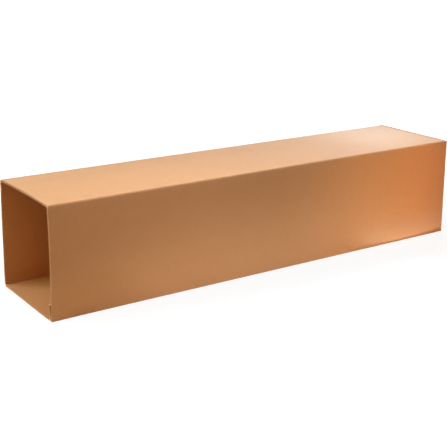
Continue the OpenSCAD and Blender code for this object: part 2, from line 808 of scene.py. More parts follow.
    def _add_closed_wall(
        self, side: Side, line: int, row: int, hollow_ends: set[tuple[Side, GridPlace]]
    ) -> None:
        """Add a wall with no hollow, which takes in the points of a hollow that ends on it.

        Args:
            side: Side of the cell that is cut.
            line: Line of the cell.
            row: Row of the cell.
            hollow_ends: Grid points at which a hollow ends, each with its side.
        """
        first, second = side.ends(line, row)
        near, far = self.grade.core
        across = {Face.OUTSIDE: (0.0, near), Face.INSIDE: (self.grade.thickness, far)}
        corners, face_map = [], []
        for place, faces in ((first, (Face.INSIDE, Face.OUTSIDE)), (second, (Face.OUTSIDE, Face.INSIDE))):
            column = [(self._skin(faces[0], place), across[faces[0]][0])]
            if (side, place) in hollow_ends:
                column += [(self._lip(side, place, face, 0.0), across[face][1]) for face in faces]
            column.append((self._skin(faces[1], place), across[faces[1]][0]))
            corners += [index for index, _ in column]
            face_map += [(self._along(side, place), height) for _, height in column]
        self._add_face(Face.CUT_EDGE, corners, face_map)

    def _note_flutes(self, depths: dict[CellSide, float]) -> None:
        """Note the middle line of each run of hollows that is deep enough to show flutes.

        Args:
            depths: Depth of the hollow in every side of a cell at the sheet's edge.
        """
        runs: dict[tuple[Side, GridPlace], list[GridPlace]] = {}
        for (side, line, row), depth in depths.items():
            if depth < self.grade.hollow:
                continue
            first, second = side.ends(line, row)
            run = runs.get((side, first))
            if run is None:
                run = [first]
            else:
                del runs[(side, first)]
            runs[(side, second)] = [*run, second]
        for (side, _), places in runs.items():
            points = [(self.grid.outer[place] + self.grid.inner[place]) / 2 for place in places]
            self.flute_lines.append(FluteLine(points, [self._depth_axis(side, place) for place in places]))


def finished_object(name: str, mesh: bpy.types.Mesh) -> bpy.types.Object:
    """Point a closed mesh's faces outwards, shade it smooth up to its corners, and link it.

    Args:
        name: Name of the piece.
        mesh: The mesh.

    Returns:
        The new object.
    """
    work = bmesh.new()
    work.from_mesh(mesh)
    bmesh.ops.recalc_face_normals(work, faces=work.faces)
    work.to_mesh(mesh)
    work.free()
    mesh.shade_smooth()
    mesh.set_sharp_from_angle(angle=SHARP_ANGLE)
    mesh.update()
    made = bpy.data.objects.new(name, mesh)
    bpy.context.scene.collection.objects.link(made)
    log.info("%s has %d faces", name, len(mesh.polygons))
    return made


Inputs = dict[str, object] | None


class NodeGraph:
    """A node tree that is written as calls and expressions."""

    def __init__(self, tree: bpy.types.NodeTree) -> None:
        """Start with an empty tree.

        Args:
            tree: Tree to fill.
        """
        self.tree = tree
        tree.nodes.clear()

    def node(self, kind: str, settings: Inputs = None, sockets: Inputs = None) -> bpy.types.Node:
        """Add a node.

        Args:
            kind: Type of the node.
            settings: Settings of the node, which are made first.
            sockets: Values or links of its inputs, by identifier or name.

        Returns:
            The new node.
        """
        made = self.tree.nodes.new(kind)
        for name, value in (settings or {}).items():
            setattr(made, name, value)
        for name, value in (sockets or {}).items():
            self._feed(next(s for s in made.inputs if name in (s.identifier, s.name)), value)
        return made

    def value(self, kind: str, output: str, settings: Inputs = None, sockets: Inputs = None) -> "Value":
        """Add a node and take one of its outputs.

        Args:
            kind: Type of the node.
            output: Identifier or name of the output.
            settings: Settings of the node.
            sockets: Values or links of its inputs.

        Returns:
            The output as a value.
        """
        made = self.node(kind, settings, sockets)
        return Value(self, next(s for s in made.outputs if output in (s.identifier, s.name)))

    def math(self, operation: str, first: "Value | float", second: "Value | float" = 0.0) -> "Value":
        """Join two numbers by a Math node."""
        sockets = {"Value": first, "Value_001": second}
        return self.value("ShaderNodeMath", "Value", {"operation": operation}, sockets)

    def vector_math(self, operation: str, output: str = "Vector", **sockets: object) -> "Value":
        """Join vectors by a Vector Math node, whose sockets are named by identifier."""
        return self.value("ShaderNodeVectorMath", output, {"operation": operation}, sockets)

    def _feed(self, socket: bpy.types.NodeSocket, value: object) -> None:
        """Link or set one input.

        Args:
            socket: The input.
            value: A value or a node to link, or what to set.
        """
        if isinstance(value, Value):
            self.tree.links.new(value.socket, socket)
        elif isinstance(value, bpy.types.Node):
            self.tree.links.new(value.outputs[0], socket)
        else:
            socket.default_value = value


class Value:
    """One output in a node tree, with the arithmetic that adds its Math nodes."""

    def __init__(self, graph: NodeGraph, socket: bpy.types.NodeSocket) -> None:
        """Wrap an output socket.

        Args:
            graph: Tree that the socket is in.
            socket: The socket.
        """
        self.graph = graph
        self.socket = socket

    def __add__(self, other: "Value | float") -> "Value":
        """Add."""
        return self.graph.math("ADD", self, other)

    __radd__ = __add__

    def __sub__(self, other: "Value | float") -> "Value":
        """Subtract."""
        return self.graph.math("SUBTRACT", self, other)

    def __rsub__(self, other: float) -> "Value":
        """Subtract from a number."""
        return self.graph.math("SUBTRACT", other, self)

    def __mul__(self, other: "Value | float") -> "Value":
        """Multiply."""
        return self.graph.math("MULTIPLY", self, other)

    __rmul__ = __mul__

    def __truediv__(self, other: "Value | float") -> "Value":
        """Divide."""
        return self.graph.math("DIVIDE", self, other)

    def __rtruediv__(self, other: float) -> "Value":
        """Divide a number."""
        return self.graph.math("DIVIDE", other, self)


@dataclass(frozen=True)
class PaperNoise:
    """A noise on the unfolded sheet.

    Attributes:
        across: Blots for each metre across the flutes.
        along: Blots for each metre along the flutes.
        detail: Octaves of finer noise.
        harshness: Strength of each finer octave beside the one before it.
    """

    across: float
    along: float
    detail: float
    harshness: float = 0.6


class ShaderGraph(NodeGraph):
    """The node tree of a material, with the patterns that paper needs."""

    def __init__(self, name: str) -> None:
        """Make a new material.

        Args:
            name: Name of the material.
        """
        self.material = bpy.data.materials.new(name)
        self.material.use_nodes = True
        super().__init__(self.material.node_tree)

    def sheet(self) -> Value:
        """Place on the unfolded sheet, across and then along the flutes."""
        return self.value("ShaderNodeUVMap", "UV", {"uv_map": SHEET_MAP})

    def part(self, vector: Value, axis: str) -> Value:
        """One coordinate of a vector."""
        return self.value("ShaderNodeSeparateXYZ", axis, None, {"Vector": vector})

    def noise(self, place: Value, paper: PaperNoise) -> Value:
        """Make noise that is stretched along the sheet.

        Args:
            place: Place on the sheet.
            paper: The kind of noise.

        Returns:
            The noise, from 0 to 1.
        """
        scale = (paper.across, paper.along, 1.0)
        stretched = self.vector_math("MULTIPLY", Vector=place, Vector_001=scale)
        sockets = {"Vector": stretched, "Scale": 1.0, "Detail": paper.detail, "Roughness": paper.harshness}
        return self.value("ShaderNodeTexNoise", "Fac", {"noise_dimensions": "2D"}, sockets)

    def step(self, value: Value, low: float, high: float) -> Value:
        """Rise smoothly from 0 at the low value to 1 at the high one."""
        sockets = {"Value": value, "From Min": low, "From Max": high}
        return self.value("ShaderNodeMapRange", "Result", {"interpolation_type": "SMOOTHSTEP"}, sockets)

    def mix(self, share: Value, first: Value | Colour, second: Value | Colour) -> Value:
        """Mix two colours by a share from 0 to 1."""
        sockets = {"Factor_Float": share, "A_Color": first, "B_Color": second}
        return self.value("ShaderNodeMix", "Result_Color", {"data_type": "RGBA"}, sockets)

    def bump(self, height: Value) -> Value:
        """Raise the surface by a height in metres."""
        return self.value("ShaderNodeBump", "Normal", None, {"Distance": 1.0, "Height": height})

    def finish(self, shader: bpy.types.Node) -> bpy.types.Material:
        """End the tree with a shader.

        Args:
            shader: The shader node of the surface.

        Returns:
            The material.
        """
        self.node("ShaderNodeOutputMaterial", None, {"Surface": shader})
        return self.material


@dataclass(frozen=True)
class KraftLiner:
    """Finish of a kraft paper facing.

    Attributes:
        name: Name of the material.
        pale: Lightest tone of the paper.
        deep: Darkest tone of the paper.
        fleck: Tone of the dark fibres.
        worn: Tone of the paper where a fold has stretched it.
        fibres: Noise of the fibres.
        clouds: Noise of the wide, cloudy change of tone.
        mottle: Noise of the smaller blots.
        specks: Noise whose peaks are the dark fibres.
        speck_from: Value of that noise at which a dark fibre starts to show.
        speck_full: Value of that noise at which it shows in full.
        cloud_share: Share of the clouds in the tone.
        mottle_share: Share of the blots in the tone.
        fibre_share: Share of the fibres in the tone.
        fleck_share: Strength of the dark fibres.
        wear: Strength of the wear at a fold.
        roughness: Mean roughness.
        roughness_range: Change of the roughness from fibre to fibre.
        shine: Level of the mirrored light.
        ripple: Height of the flutes that show through the facing.
        nap: Height of the fibres.
        pitch: Spacing of the flutes.
    """

    name: str
    pale: Colour
    deep: Colour
    fleck: Colour
    worn: Colour
    fibres: PaperNoise = PaperNoise(260.0, 1500.0, 4.0)
    clouds: PaperNoise = PaperNoise(11.0, 5.0, 3.0)
    mottle: PaperNoise = PaperNoise(70.0, 90.0, 3.0)
    specks: PaperNoise = PaperNoise(420.0, 1900.0, 1.0)
    speck_from: float = 0.68
    speck_full: float = 0.76
    cloud_share: float = 0.4
    mottle_share: float = 0.3
    fibre_share: float = 0.3
    fleck_share: float = 0.3
    wear: float = 0.35
    roughness: float = 0.74
    roughness_range: float = 0.14
    shine: float = 0.3
    ripple: float = 0.02 * MM
    nap: float = 0.02 * MM
    pitch: float = BoardGrade.pitch

    def material(self) -> bpy.types.Material:
        """Build the material.

        Returns:
            The material.
        """
        graph = ShaderGraph(self.name)
        sheet = graph.sheet()
        fibres = graph.noise(sheet, self.fibres)
        clouds = graph.noise(sheet, self.clouds)
        mottle = graph.noise(sheet, self.mottle)
        specks = graph.step(graph.noise(sheet, self.specks), self.speck_from, self.speck_full)
        crease = graph.value("ShaderNodeAttribute", "Fac", {"attribute_name": CREASE_MARK})
        blend = self.cloud_share * clouds + self.mottle_share * mottle + self.fibre_share * fibres
        tone = graph.mix(blend, self.deep, self.pale)
        tone = graph.mix(self.fleck_share * specks, tone, self.fleck)
        tone = graph.mix(self.wear * crease * mottle, tone, self.worn)
        wave = graph.math("SINE", graph.part(sheet, "X") * (2 * math.pi / self.pitch))
        height = 0.5 * self.ripple * wave + self.nap * fibres
        shader = graph.node("ShaderNodeBsdfPrincipled", None, {
            "Base Color": tone,
            "Roughness": self.roughness + self.roughness_range * (fibres - 0.5),
            "Specular IOR Level": self.shine,
            "Normal": graph.bump(height),
        })
        return graph.finish(shader)


@dataclass(frozen=True)
class CutPaper:
    """Finish of paper seen at a cut or inside the flutes.

    Attributes:
        name: Name of the material.
        pale: Lightest tone.
        deep: Darkest tone.
        nap: Height of the torn fibres.
        fuzz_scale: Tufts of torn fibre for each metre.
        fuzz_detail: Octaves of finer tufts.
        roughness: Least roughness.
        roughness_range: Change of the roughness from tuft to tuft.
        shine: Level of the mirrored light.
    """

    name: str
    pale: Colour
    deep: Colour
    nap: float = 0.05 * MM
    fuzz_scale: float = 900.0
    fuzz_detail: float = 3.0
    roughness: float = 0.8
    roughness_range: float = 0.15
    shine: float = 0.2

    def material(self) -> bpy.types.Material:
        """Build the material.

        Returns:
            The material.
        """
        graph = ShaderGraph(self.name)
        place = graph.value("ShaderNodeTexCoord", "Object")
        sockets = {"Vector": place, "Scale": self.fuzz_scale, "Detail": self.fuzz_detail}
        fuzz = graph.value("ShaderNodeTexNoise", "Fac", None, sockets)
        shader = graph.node("ShaderNodeBsdfPrincipled", None, {
            "Base Color": graph.mix(fuzz, self.deep, self.pale),
            "Roughness": self.roughness + self.roughness_range * fuzz,
            "Specular IOR Level": self.shine,
            "Normal": graph.bump(self.nap * fuzz),
        })
        return graph.finish(shader)


@dataclass(frozen=True)
class GlueWithPaintedShade:
    """Finish of the glue in the side joint, made dark so that the glue film in the torn joint paints the
    shade of the gap.

    Attributes:
        name: Name of the material.
        clear: Dark tone where the glue has dried clear, dark enough to be painted shade in the open joint.
        milky_shade_tone: Tone where it is still milky, also darkened as painted shade.
        blot_scale: Blots for each metre.
        roughness: Least roughness.
        roughness_range: Change of the roughness from blot to blot.
    """

    name: str = "dried_glue"
    clear: Colour = linear(112, 66, 32)
    milky_shade_tone: Colour = linear(138, 88, 48)
    blot_scale: float = 220.0
    roughness: float = 0.3
    roughness_range: float = 0.2

    def material(self) -> bpy.types.Material:
        """Build the material.

        Returns:
            The material.
        """
        graph = ShaderGraph(self.name)
        place = graph.value("ShaderNodeTexCoord", "Object")
        blots = graph.value("ShaderNodeTexNoise", "Fac", None, {"Vector": place, "Scale": self.blot_scale})
        # The dark glue tones are painted shade for the gap in the joint, not only the glue's own colour
        shader = graph.node("ShaderNodeBsdfPrincipled", None, {
            "Base Color": graph.mix(blots, self.clear, self.milky_shade_tone),
            "Roughness": self.roughness + self.roughness_range * blots,
        })
        return graph.finish(shader)


class BoardFinishes:
    """The materials of the board, one for each finish that it shows."""

    def __init__(self) -> None:
        """Make the materials."""
        self.outside = KraftLiner(
            "kraft_outside",
            pale=linear(224, 178, 138),
            deep=linear(208, 160, 119),
            fleck=linear(152, 108, 72),
            worn=linear(230, 191, 156),
        ).material()
        self.inside = KraftLiner(
            "kraft_inside",
            pale=linear(208, 154, 106),
            deep=linear(190, 135, 88),
            fleck=linear(138, 92, 54),
            worn=linear(214, 168, 124),
            ripple=0.05 * MM,
        ).material()
        self.cut_edge = CutPaper("cut_kraft", linear(240, 204, 166), linear(222, 180, 138)).material()
        self.medium = CutPaper("fluted_medium", linear(232, 192, 152), linear(214, 170, 128)).material()

    def for_board(self) -> list[bpy.types.Material]:
        """List the materials in the order of a board's finishes."""
        return [self.outside, self.inside, self.cut_edge, self.medium]


@dataclass
class FluteMedium:
    """The fluted sheet between the facings, swept by Geometry Nodes along the cuts that show it.

    Attributes:
        grade: Make-up of the board.
        material: Finish of the fluted sheet.
        steps_per_flute: Steps along one flute.
        setback: Distance of the fluted sheet's edges from the cut and from the back of the hollow.
        weld: Distance within which points of the sheet's two sides become one.
        tree: The node tree.
    """

    grade: BoardGrade
    material: bpy.types.Material
    steps_per_flute: int = 14
    setback: float = 0.12 * MM
    weld: float = 0.01 * MM
    tree: bpy.types.NodeTree = field(init=False)

    def __post_init__(self) -> None:
        """Build the node tree."""
        self.tree = bpy.data.node_groups.new("flute_medium", "GeometryNodeTree")
        self._build_tree()

    def sweep(self, name: str, lines: Sequence[FluteLine]) -> bpy.types.Object:
        """Make the flutes along some cuts as one plain mesh.

        Args:
            name: Name of the piece.
            lines: Middle lines of the board along the cuts.

        Returns:
            The new object.
        """
        carrier = bpy.data.objects.new(f"{name}_lines", self._line_mesh(name, lines))
        bpy.context.scene.collection.objects.link(carrier)
        modifier = carrier.modifiers.new("flutes", "NODES")
        modifier.node_group = self.tree
        sizes = {
            "Pitch": self.grade.pitch,
            "Height": self.grade.wave,
            "Depth": self.grade.hollow - 2 * self.setback,
            "Thickness": self.grade.medium,
            "Material": self.material,
        }
        for item in self.tree.interface.items_tree:
            if item.in_out == "INPUT" and item.name in sizes:
                modifier[item.identifier] = sizes[item.name]
        graph = bpy.context.evaluated_depsgraph_get()
        mesh = bpy.data.meshes.new_from_object(carrier.evaluated_get(graph))
        mesh.name = name
        carrier.modifiers.remove(modifier)
        bpy.data.objects.remove(carrier)
        return finished_object(name, mesh)

    def _line_mesh(self, name: str, lines: Sequence[FluteLine]) -> bpy.types.Mesh:
        """Draw the lines as edges that carry the direction into the board.

        Args:
            name: Name of the piece.
            lines: Middle lines of the board along the cuts.

        Returns:
            The mesh.
        """
        points, edges, depths = [], [], []
        for line in lines:
            first = len(points)
            points += [point + depth * self.setback for point, depth in zip(line.points, line.depths)]
            depths += line.depths
            edges += [(index, index + 1) for index in range(first, len(points) - 1)]
        mesh = bpy.data.meshes.new(f"{name}_lines")
        mesh.from_pydata([tuple(point) for point in points], edges, [])
        mark = mesh.attributes.new(DEPTH_MARK, "FLOAT_VECTOR", "POINT")
        mark.data.foreach_set("vector", np.concatenate(depths))
        return mesh

    def _add_sockets(self) -> None:
        """Give the tree its inputs and its output."""
        interface = self.tree.interface
        interface.new_socket("Geometry", in_out="OUTPUT", socket_type="NodeSocketGeometry")
        interface.new_socket("Geometry", in_out="INPUT", socket_type="NodeSocketGeometry")
        for name in ("Pitch", "Height", "Depth", "Thickness"):
            interface.new_socket(name, in_out="INPUT", socket_type="NodeSocketFloat")
        interface.new_socket("Material", in_out="INPUT", socket_type="NodeSocketMaterial")

    def _build_tree(self) -> None:
        """Write the tree: wave the line, pull it into the board, and give the sheet its thickness."""
        self._add_sockets()
        graph = NodeGraph(self.tree)
        given = graph.node("NodeGroupInput")
        take = {socket.name: Value(graph, socket) for socket in given.outputs if socket.name}
        curve = graph.node("GeometryNodeMeshToCurve", None, {"Mesh": take["Geometry"]})
        sockets = {"Curve": curve, "Length": take["Pitch"] / self.steps_per_flute}
        curve = graph.node("GeometryNodeResampleCurve", {"mode": "LENGTH"}, sockets)
        settings = {"data_type": "FLOAT_VECTOR"}
        depth = graph.value("GeometryNodeInputNamedAttribute", "Attribute", settings, {"Name": DEPTH_MARK})
        tangent = graph.value("GeometryNodeInputTangent", "Tangent")
        across = graph.vector_math("CROSS_PRODUCT", Vector=tangent, Vector_001=depth)
        across = graph.vector_math("NORMALIZE", Vector=across)
        run = graph.value("GeometryNodeSplineParameter", "Length")
        wave = 0.5 * take["Height"] * graph.math("SINE", run * (2 * math.pi) / take["Pitch"])
        offset = graph.vector_math("SCALE", Vector=across, Scale=wave)
        curve = graph.node("GeometryNodeSetPosition", None, {"Geometry": curve, "Offset": offset})
        ribbon = graph.node("GeometryNodeCurveToMesh", None, {"Curve": curve})
        ribbon = graph.node("GeometryNodeExtrudeMesh", {"mode": "EDGES"}, {
            "Mesh": ribbon,
            "Offset": depth,
            "Offset Scale": take["Depth"],
        })
        normal = graph.value("GeometryNodeInputNormal", "Normal")
        back = graph.vector_math("SCALE", Vector=normal, Scale=-0.5 * take["Thickness"])
        ribbon = graph.node("GeometryNodeSetPosition", None, {"Geometry": ribbon, "Offset": back})
        front = graph.node("GeometryNodeExtrudeMesh", {"mode": "FACES"}, {
            "Mesh": ribbon,
            "Offset Scale": take["Thickness"],
            "Individual": False,
        })
        rear = graph.node("GeometryNodeFlipFaces", None, {"Mesh": ribbon})
        sheet = graph.node("GeometryNodeJoinGeometry")
        for half in (front, rear):
            self.tree.links.new(half.outputs[0], sheet.inputs[0])
        sheet = graph.node("GeometryNodeMergeByDistance", None, {"Geometry": sheet, "Distance": self.weld})
        sheet = graph.node("GeometryNodeRealizeInstances", None, {"Geometry": sheet})
        sockets = {"Geometry": sheet, "Material": take["Material"]}
        sheet = graph.node("GeometryNodeSetMaterial", None, sockets)
        graph.node("NodeGroupOutput", None, {"Geometry": sheet})


@dataclass(frozen=True)
class GlueShape:
    """Shape of the glue between the tab and the front panel. Near the open edge it is a dark film on the
    tab, which paints the shade in the gap of the joint.

    Attributes:
        rows: Points along the glue.
        lines: Points up the glue.
        inset: Distance of the glue from the edges of the tab.
        start: Distance of the glue's end from the open edge.
        torn: Distance from the open edge to which the joint has torn open, where the glue is a dark film on
            the tab that paints the shade in the gap.
        rise: Distance past that over which the shade film on the tab grows to fill the joint.
        shade_film: Thickness of the dark glue film on the tab, which is painted shade.
        soak: Depth to which the glue has soaked into the paper.
        waves: Waves of the glue's edges, each as height, radians for each metre, and phase.
    """

    rows: int = 80
    lines: int = 5
    inset: float = 3 * MM
    start: float = 0.4 * MM
    torn: float = 40 * MM
    rise: float = 20 * MM
    shade_film: float = 0.3 * MM
    soak: float = 0.05 * MM
    waves: tuple[tuple[float, float, float], ...] = ((0.8 * MM, 70.0, 0.0), (0.5 * MM, 163.0, 1.0))

    def ooze(self, x: float) -> float:
        """Give the upward shift of the glue's edges at a place along the box."""
        return sum(height * math.sin(rate * x + phase) for height, rate, phase in self.waves)


@dataclass
class Carton:
    """The folded sheet: glue tab, four panels and the two inner flaps.

    Attributes:
        sizes: Sizes of the carton.
        grade: Make-up of the board.
        spring: How the panels spring at the open end.
        glue: Shape of the glue in the side joint, with its dark film that paints the shade in the gap.
        fold_cells: Cells round a fold of the section.
        panel_cells: Even cells across a panel.
        tab_cells: Even cells up the glue tab.
        run_cells: Even cells along the tube.
        bend_cells: Cells round the fold of an inner flap.
        flap_cells: Even cells along an inner flap.
        front_margin: Distance of the last even line from the front panel's cut edge.
        tab_clear_run: Length of the glue tab's last cell, which its slanted end cuts.
        flap_crease_spread: Distance over which the mark of an inner flap's fold fades.
        flap_slack: Distance by which a line may miss the side of an inner flap.
        stations: Lines along the sheet, in their order round the section.
        tube_rows: Rows from the open edge to the slots.
        flap_rows: Rows of an inner flap.
        bottom_line: First line of the bottom panel.
        tab_row: Row at the far end of the glue tab.
    """

    sizes: CartonSizes
    grade: BoardGrade
    spring: MouthSpring
    glue: GlueShape = GlueShape()
    fold_cells: int = 8
    panel_cells: int = 16
    tab_cells: int = 4
    run_cells: int = 30
    bend_cells: int = 6
    flap_cells: int = 10
    front_margin: float = 6 * MM
    tab_clear_run: float = 30 * MM
    flap_crease_spread: float = 5 * MM
    flap_slack: float = 0.01 * MM
    stations: list[Station] = field(init=False)
    tube_rows: list[Row] = field(init=False)
    flap_rows: list[Row] = field(init=False)
    bottom_line: int = field(init=False)
    tab_row: int = field(init=False)

    def __post_init__(self) -> None:
        """Lay out the sheet."""
        self.stations = self._walk_section()
        self.tube_rows = self._tube_rows()
        self.flap_rows = self._flap_rows()
        tab_end = self.sizes.tab_end_x
        self.bottom_line = [station.panel for station in self.stations].index(Panel.BOTTOM)
        self.tab_row = next(k for k, row in enumerate(self.tube_rows) if row.outer[0] >= tab_end)

    def build(self, finishes: BoardFinishes, flutes: FluteMedium) -> None:
        """Make the carton's pieces and hang them on its body.

        Args:
            finishes: Materials of the board.
            flutes: Maker of the fluted sheet.
        """
        mesh = BoardMesh(self._grid(), self.grade, self._hollow)
        board = mesh.make_object("carton_board", finishes.for_board())
        medium = flutes.sweep("carton_flutes", mesh.flute_lines)
        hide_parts("carton")
        for piece in (board, medium, self._glue_and_shade_film()):
            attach(piece, "carton")

    def _walk_section(self) -> list[Station]:
        """Walk the section from the glue tab's free edge to the front panel's cut edge.

        Returns:
            The lines along the sheet.
        """
        sizes, skirt = self.sizes, self.grade.skirt
        inset = sizes.inner_flap_clearance
        flap_marks = (inset, *(inset + distance for distance in self.grade.corner_lines))
        start = complex(sizes.tab_y, sizes.tab_height)
        walk = SectionWalk(start, -1j, sizes.board)
        walk.flat(Panel.TAB, marks(sizes.tab_flat, self.tab_cells, head=(skirt,)))
        for panel, width, ends in (
            (Panel.BOTTOM, sizes.bottom_flat, flap_marks),
            (Panel.BACK, sizes.panel_flat, ()),
            (Panel.TOP, sizes.panel_flat, flap_marks),
        ):
            walk.fold(sizes.bend_radius, self.fold_cells)
            walk.flat(panel, marks(width, self.panel_cells, ends, ends))
        walk.fold(sizes.bend_radius, self.fold_cells)
        walk.flat(Panel.FRONT, marks(sizes.front_flat, self.panel_cells, tail=(skirt, self.front_margin)))
        return walk.finished()

    @property
    def _mouth_rows(self) -> tuple[float, float, float]:
        """Distances of the rows behind the open edge, as far as its hollows reach."""
        first, past = self.grade.cut_rows
        return first, self.grade.hollow / 2, past

    def _tube_rows(self) -> list[Row]:
        """List the rows from the open edge to the slots.

        Returns:
            The rows.
        """
        sizes = self.sizes
        length = sizes.slot_x - sizes.open_x
        tab_end = sizes.slot_x - sizes.tab_end_x
        tail = (tab_end, tab_end + self.tab_clear_run)
        distances = marks(length, self.run_cells, self._mouth_rows, tail)
        return [self._row(sizes.open_x + distance) for distance in distances]

    def _row(self, x: float) -> Row:
        """Make a row of the tube at a place along the box."""
        run = x - self.sizes.open_x
        return Row((x, 0.0), (x, self.sizes.board), run, self._flap_crease(run))

    def _flap_crease(self, run: float) -> float:
        """Tell how close a row is to the fold of the inner flaps, from 0 to 1."""
        fold = self.sizes.bend_x - self.sizes.open_x + self._bend_length / 2
        return fold_mark(run - fold, self.flap_crease_spread)

    @property
    def _bend_length(self) -> float:
        """Length of the middle of the board round a flap's fold."""
        return (self.sizes.bend_radius - self.sizes.board / 2) * math.pi / 2

    def _flap_rows(self) -> list[Row]:
        """List the rows of an inner flap, from the slots round its fold to its free edge.

        Returns:
            The rows.
        """
        sizes = self.sizes
        start = sizes.bend_x - sizes.open_x
        rows = []
        for step in range(self.bend_cells + 1):
            angle = math.pi / 2 * step / self.bend_cells
            run = start + self._bend_length * step / self.bend_cells
            outer = self._bent(sizes.bend_radius, angle)
            inner = self._bent(sizes.fold_radius, angle)
            rows.append(Row(outer, inner, run, self._flap_crease(run)))
        last = rows[-1]
        for drop in marks(sizes.flap_drop, self.flap_cells, tail=self.grade.cut_rows)[1:]:
            outer = (last.outer[0], last.outer[1] + drop)
            inner = (last.inner[0], last.inner[1] + drop)
            rows.append(Row(outer, inner, last.run + drop, self._flap_crease(last.run + drop)))
        return rows

    def _bent(self, radius: float, angle: float) -> tuple[float, float]:
        """Place along the box and depth of a point on a flap's fold."""
        sizes = self.sizes
        return sizes.bend_x + radius * math.sin(angle), sizes.bend_radius - radius * math.cos(angle)

    def _row_at(self, station: Station, index: int) -> Row:
        """Give a row of a line along the sheet, which outside the inner flaps ends at the slots.

        Args:
            station: The line.
            index: Number of the row, counted from the open edge.

        Returns:
            The row.
        """
        if index < len(self.tube_rows):
            return self.tube_rows[index]
        if station.panel in (Panel.TOP, Panel.BOTTOM):
            return self.flap_rows[index - len(self.tube_rows)]
        return self.tube_rows[-1]

    def _grid(self) -> SheetGrid:
        """Fold the sheet and cut its outline.

        Returns:
            The points and cells of the sheet.
        """
        grid = SheetGrid.empty(len(self.stations), len(self.tube_rows) + len(self.flap_rows))
        for line, station in enumerate(self.stations):
            for index in range(grid.outer.shape[1]):
                row = self._row_at(station, index)
                grid.outer[line, index] = self._point(station, *row.outer, index)
                grid.inner[line, index] = self._point(station, *row.inner, index)
                grid.flat[line, index] = (station.run, row.run)
                turned = row.crease if station.panel is not None else 0.0
                grid.crease[line, index] = max(station.crease, turned)
        for line in range(grid.cells.shape[0]):
            for index in range(grid.cells.shape[1]):
                grid.cells[line, index] = self._is_cell(line, index)
        return grid

    def _point(self, station: Station, x: float, depth: float, index: int) -> tuple[float, float, float]:
        """Place a point of the folded sheet.

        Args:
            station: Line along the sheet that the point is on.
            x: Place along the box.
            depth: Depth below the outer skin.
            index: Row that the point is on.

        Returns:
            The point.
        """
        section = station.place + station.inward * (depth - self._push(station, x - self.sizes.open_x))
        if station.panel is Panel.TAB and index == self.tab_row:
            x -= (1 - station.share) * self.sizes.tab_flat * math.tan(self.sizes.tab_slant)
        return x, section.real, section.imag

    def _push(self, station: Station, distance: float) -> float:
        """Work out how far a line springs outwards.

        Args:
            station: The line along the sheet.
            distance: Distance from the open edge.

        Returns:
            The outward push.
        """
        if station.panel is None:
            return 0.0
        if station.panel is Panel.TAB:
            return self._tab_push(station.share, distance)
        return self.spring.push(station.panel, station.share, distance)

    def _tab_push(self, share: float, distance: float) -> float:
        """Work out how far the tab follows the front panel, and leans away from it where it is loose.

        Args:
            share: Place down the tab, from 0 at its free edge to 1 at its fold.
            distance: Distance from the open edge.

        Returns:
            The outward push.
        """
        sizes, spring = self.sizes, self.spring
        front_share = (sizes.height - sizes.bend_radius - sizes.tab_height) / sizes.front_flat
        loose = fade(distance, spring.loose)
        held = spring.push(Panel.FRONT, front_share, distance) * (1 - loose)
        return (1 - share) * (held - spring.peel * loose)

    def _is_cell(self, line: int, index: int) -> bool:
        """Tell whether a cell is board, and not cut off beside the tab or between the flaps.

        Args:
            line: Line of the cell.
            index: Row of the cell.

        Returns:
            Whether it is board.
        """
        first, second = self.stations[line], self.stations[line + 1]
        if index < len(self.tube_rows) - 1:
            return line >= self.bottom_line or index < self.tab_row
        return first.panel is second.panel and self._in_flap(first) and self._in_flap(second)

    def _in_flap(self, station: Station) -> bool:
        """Tell whether a line lies within the span of an inner flap.

        Args:
            station: The line along the sheet.

        Returns:
            Whether it does.
        """
        widths = {Panel.TOP: self.sizes.panel_flat, Panel.BOTTOM: self.sizes.bottom_flat}
        if station.panel not in widths:
            return False
        width = widths[station.panel]
        inset = self.sizes.inner_flap_clearance - self.flap_slack
        return inset <= station.share * width <= width - inset

    def _hollow(self, side: Side, line: int, row: int) -> float:
        """Give the depth of the hollow in one side of a cell.

        Args:
            side: The side.
            line: Line of the cell.
            row: Row of the cell.

        Returns:
            The depth, or 0 where the wall is closed.
        """
        first, second = self.stations[line], self.stations[line + 1]
        last_line = len(self.stations) - 2
        last_row = len(self.tube_rows) + len(self.flap_rows) - 2
        # The mouth, closed in its folds and beside the raw edges
        if side is Side.LOW_ROW and row == 0:
            flat = first.panel is second.panel is not None
            return self.grade.hollow if flat and 0 < line < last_line else 0.0
        # The free edge of an inner flap, closed beside its corners
        if side is Side.HIGH_ROW and row == last_row:
            whole = self._is_cell(line - 1, row) and self._is_cell(line + 1, row)
            return self.grade.hollow if whole else 0.0
        # The raw edges of the tab and the front panel, closed towards both ends
        if (side, line) not in ((Side.LOW_LINE, 0), (Side.HIGH_LINE, last_line)):
            return 0.0
        edge_cells = self.tab_row if line == 0 else len(self.tube_rows) - 1
        return self.grade.groove if len(self._mouth_rows) <= row < edge_cells - 1 else 0.0

    def _glue_and_shade_film(self) -> bpy.types.Object:
        """Make the line of glue between the tab and the front panel, with a dark film on the tab near the
        open edge that paints the shade in the gap.

        Returns:
            The new object.
        """
        sizes, glue = self.sizes, self.glue
        start = sizes.open_x + glue.start
        stop = sizes.tab_end_x - sizes.tab_flat * math.tan(sizes.tab_slant) - glue.inset
        low, high = sizes.bend_radius + glue.inset, sizes.tab_height - glue.inset
        grid = SheetGrid.empty(glue.lines, glue.rows)
        for row in range(glue.rows):
            x = start + (stop - start) * row / (glue.rows - 1)
            torn = fade(x - sizes.open_x - glue.torn, glue.rise)
            for line in range(glue.lines):
                z = low + glue.ooze(x) + (high - low) * line / (glue.lines - 1)
                panel_face, tab_face = self._joint_faces(x, z)
